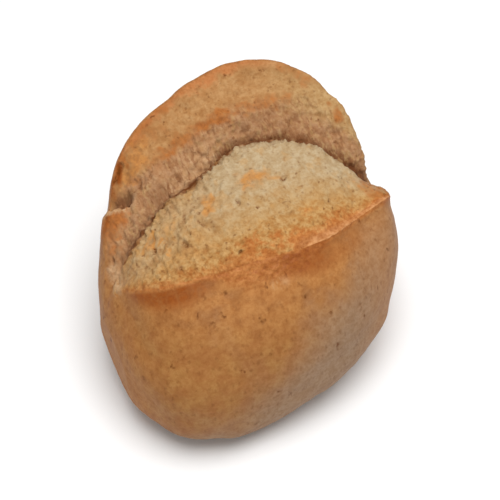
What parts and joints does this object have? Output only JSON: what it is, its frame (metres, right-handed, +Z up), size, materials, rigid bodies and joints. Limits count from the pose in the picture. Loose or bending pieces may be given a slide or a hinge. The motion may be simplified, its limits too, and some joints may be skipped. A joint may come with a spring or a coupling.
{
  "type": "bread roll",
  "caption": "Round wholemeal bread roll with one wide lengthwise split: smooth speckled crust below, a raised burst of torn crumb in front and a torn back wall.",
  "frame": {"origin": "middle of the roll's length and depth, on the face it rests on", "axes": "+X along the split, with the pointed ear of crust at the +X end; -Y is the front, towards the smooth flank; +Z is up"},
  "size_m": [0.0902, 0.0874, 0.065],
  "materials": {
    "crust": "dry matte baked crust, floury torn crumb in the split"
  },
  "bodies": {
    "root": {"bread_roll": "crust"}
  },
  "joints": []
}
